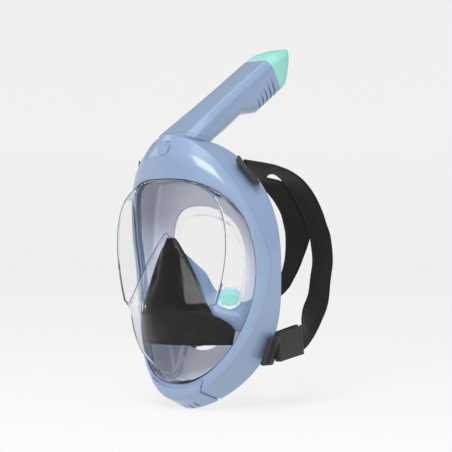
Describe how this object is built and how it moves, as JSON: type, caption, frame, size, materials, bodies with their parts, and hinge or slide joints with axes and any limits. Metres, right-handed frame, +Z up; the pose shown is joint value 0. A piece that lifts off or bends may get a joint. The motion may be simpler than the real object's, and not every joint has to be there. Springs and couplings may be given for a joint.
{
  "type": "full-face snorkel mask",
  "caption": "Full-face snorkel mask with a clear visor, separate nose cup, dry-top snorkel and fork-ended head strap.",
  "frame": {"origin": "centre of the face-seal opening", "axes": "+Z up towards the brow, +X to the wearer's left, +Y back towards the wearer, -Y front"},
  "size_m": [0.18, 0.2365, 0.365],
  "materials": {
    "blue_frame": "satin",
    "mint_plastic": "satin",
    "mint_silicone": "satin",
    "clear_visor": "gloss",
    "frosted_silicone": "translucent satin",
    "blue_silicone": "translucent satin",
    "black_silicone": "satin",
    "inner_plastic": "gloss",
    "clip_plastic": "matte",
    "strap_webbing": "woven",
    "spring_steel": "bright"
  },
  "bodies": {
    "root": {"visor": "clear_visor", "front_frame": "blue_frame", "rear_frame": "blue_frame", "chin_cover": "blue_frame", "face_skirt": "frosted_silicone", "nose_cup": "black_silicone", "septum_left": "blue_silicone", "septum_right": "blue_silicone", "inhale_seat_left": "inner_plastic", "inhale_seat_right": "inner_plastic", "purge_seat": "inner_plastic", "snorkel_socket": "blue_frame", "socket_gasket": "black_silicone", "button_spring": "spring_steel", "head_strap": "strap_webbing", "strap_clips_upper": "clip_plastic", "strap_clips_lower": "clip_plastic", "strap_keepers": "clip_plastic"},
    "snorkel": {"snorkel_tube": "blue_frame", "snorkel_divider": "inner_plastic", "snorkel_spigot": "inner_plastic", "dry_top_cap": "mint_plastic", "float_cage": "inner_plastic"},
    "float": {"float_body": "inner_plastic", "float_seal": "black_silicone"},
    "exhaust_valve": {"exhaust_flap": "frosted_silicone"},
    "button": {"release_button": "blue_frame", "snorkel_latch": "inner_plastic"},
    "inhale_valve_left": {"inhale_flap_left": "mint_silicone"},
    "inhale_valve_right": {"inhale_flap_right": "mint_silicone"},
    "purge_valve": {"purge_flap": "frosted_silicone"}
  },
  "joints": [
    {"name": "snorkel_release", "type": "slide", "parent": "root", "child": "snorkel", "axis": [0, 0.829, 0.5592], "range_m": [0, 0.045]},
    {"name": "float_lift", "type": "slide", "parent": "snorkel", "child": "float", "axis": [0, 0.829, 0.5592], "range_m": [0, 0.005]},
    {"name": "exhaust_flex", "type": "slide", "parent": "snorkel", "child": "exhaust_valve", "axis": [0, 0.5592, -0.829], "range_m": [0, 0.0015], "stiffness_N_per_m": 60},
    {"name": "button_press", "type": "slide", "parent": "root", "child": "button", "axis": [0, 1, 0], "range_m": [0, 0.002], "stiffness_N_per_m": 900},
    {"name": "inhale_left_flex", "type": "slide", "parent": "root", "child": "inhale_valve_left", "axis": [0.5517, -0.5917, 0.5878], "range_m": [0, 0.0015], "stiffness_N_per_m": 60},
    {"name": "inhale_right_flex", "type": "slide", "parent": "root", "child": "inhale_valve_right", "axis": [-0.5517, -0.5917, 0.5878], "range_m": [0, 0.0015], "stiffness_N_per_m": 60},
    {"name": "purge_flex", "type": "slide", "parent": "root", "child": "purge_valve", "axis": [0, -0.788, -0.6157], "range_m": [0, 0.0015], "stiffness_N_per_m": 60}
  ]
}
